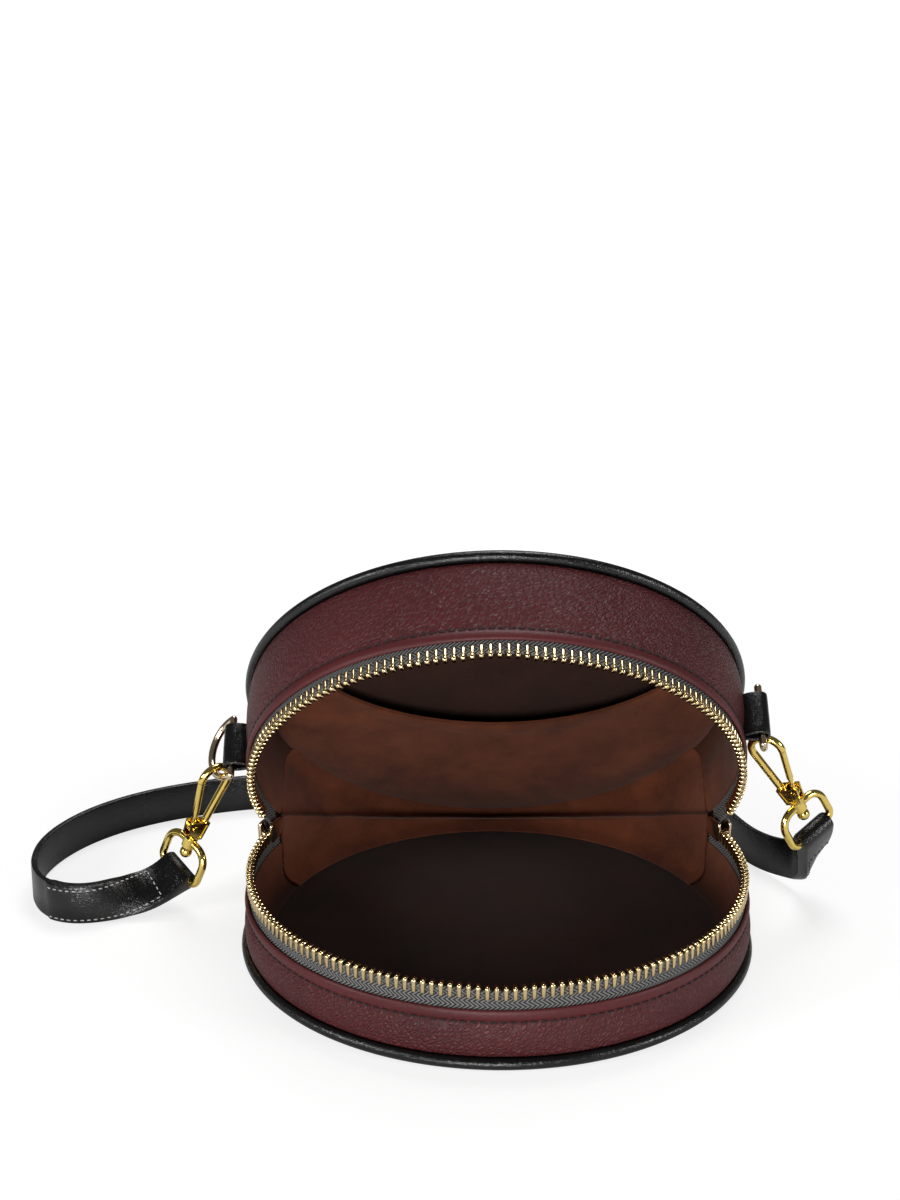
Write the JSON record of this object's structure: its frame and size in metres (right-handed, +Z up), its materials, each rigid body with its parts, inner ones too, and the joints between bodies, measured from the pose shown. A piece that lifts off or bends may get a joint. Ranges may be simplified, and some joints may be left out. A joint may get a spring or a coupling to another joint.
{
  "type": "circle bag",
  "caption": "Round drum-shaped shoulder bag that unzips like a clamshell, with piped rims, a lined inside with slip pocket, rings and a clip-on strap.",
  "frame": {"origin": "middle of the base panel's underside, on the floor", "axes": "+Z up, -Y out of the open mouth towards the viewer, +X to the viewer's right"},
  "size_m": [0.3114, 0.3017, 0.1566],
  "materials": {
    "burgundy_leather": "pebbled, satin",
    "black_leather": "smooth, satin",
    "lining": "suede-like, matte",
    "zip_tape": "woven, matte",
    "gold_metal": "polished",
    "pale_gold_metal": "polished",
    "board": "plain",
    "spring_steel": "plain"
  },
  "bodies": {
    "base": {"base_panel": "burgundy_leather", "base_stiffener": "board", "base_piping": "black_leather", "base_wall": "burgundy_leather", "base_lining": "lining", "base_zip_tape": "zip_tape", "base_zip_teeth": "gold_metal", "hinge_gusset": "burgundy_leather", "gusset_lining": "lining", "strap_left_run": "black_leather", "strap_hank": "black_leather", "strap_right_run": "black_leather", "strap_left_fold": "black_leather", "strap_right_fold": "black_leather"},
    "lid": {"lid_panel": "burgundy_leather", "lid_stiffener": "board", "lid_piping": "black_leather", "lid_wall": "burgundy_leather", "lid_lining": "lining", "lid_zip_tape": "zip_tape", "lid_zip_teeth": "gold_metal", "slip_pocket": "lining", "tab_left": "black_leather", "tab_right": "black_leather", "swivel_loop_left": "gold_metal", "swivel_loop_right": "gold_metal"},
    "slider_left": {"slider_left": "gold_metal"},
    "pull_left": {"pull_left": "gold_metal"},
    "ring_left": {"ring_left": "pale_gold_metal"},
    "hook_left": {"hook_left": "gold_metal", "gate_rivet_left": "gold_metal", "gate_spring_left": "spring_steel", "swivel_post_left": "gold_metal"},
    "gate_left": {"hook_gate_left": "gold_metal"},
    "slider_right": {"slider_right": "gold_metal"},
    "pull_right": {"pull_right": "gold_metal"},
    "ring_right": {"ring_right": "pale_gold_metal"},
    "hook_right": {"hook_right": "gold_metal", "gate_rivet_right": "gold_metal", "gate_spring_right": "spring_steel", "swivel_post_right": "gold_metal"},
    "gate_right": {"hook_gate_right": "gold_metal"}
  },
  "joints": [
    {"name": "lid_hinge", "type": "hinge", "parent": "base", "child": "lid", "pos_m": [0, 0.031, 0.031], "axis": [-1, 0, 0], "range_deg": [-53, 0], "deforming": ["hinge_gusset", "gusset_lining", "strap_left_fold", "strap_right_fold"]},
    {"name": "slider_left_run", "type": "hinge", "parent": "base", "child": "slider_left", "pos_m": [0, 0, 0.031], "axis": [0, 0, 1], "range_deg": [0, 106]},
    {"name": "pull_left_swing", "type": "hinge", "parent": "slider_left", "child": "pull_left", "pos_m": [-0.089, 0.03221, 0.031], "axis": [0.3403, 0.9403, 0], "range_deg": [0, 60]},
    {"name": "ring_left_swing", "type": "hinge", "parent": "lid", "child": "ring_left", "pos_m": [-0.09918, 0.02856, 0.06581], "axis": [0, 0.7986, 0.6018], "range_deg": [-8, 5]},
    {"name": "hook_left_swivel", "type": "hinge", "parent": "lid", "child": "hook_left", "pos_m": [-0.1156, 0.02752, 0.02917], "axis": [0.3702, -0.08, 0.9255], "range_deg": [-20, 8]},
    {"name": "gate_left_press", "type": "hinge", "parent": "hook_left", "child": "gate_left", "pos_m": [-0.11494, 0.02632, 0.03345], "axis": [-0.59, 0.7492, 0.3008], "range_deg": [0, 22], "stiffness_Nm_per_rad": 0.02, "springref_deg": -11.46},
    {"name": "slider_right_run", "type": "hinge", "parent": "base", "child": "slider_right", "pos_m": [0, 0, 0.031], "axis": [0, 0, 1], "range_deg": [-106, 0]},
    {"name": "pull_right_swing", "type": "hinge", "parent": "slider_right", "child": "pull_right", "pos_m": [0.089, 0.03221, 0.031], "axis": [0.3403, -0.9403, 0], "range_deg": [0, 60]},
    {"name": "ring_right_swing", "type": "hinge", "parent": "lid", "child": "ring_right", "pos_m": [0.09703, 0.01511, 0.08366], "axis": [0, 0.7986, 0.6018], "range_deg": [-4, 8]},
    {"name": "hook_right_swivel", "type": "hinge", "parent": "lid", "child": "hook_right", "pos_m": [0.1127, 0.02004, 0.04703], "axis": [-0.4756, -0.1802, 0.861], "range_deg": [-8, 20]},
    {"name": "gate_right_press", "type": "hinge", "parent": "hook_right", "child": "gate_right", "pos_m": [0.11168, 0.01858, 0.05115], "axis": [-0.3994, -0.8279, -0.3939], "range_deg": [0, 22], "stiffness_Nm_per_rad": 0.02, "springref_deg": -11.46}
  ],
  "couplings": [
    {"joint": "slider_left_run", "follows": "lid_hinge", "ratio": -2},
    {"joint": "slider_right_run", "follows": "lid_hinge", "ratio": 2}
  ]
}
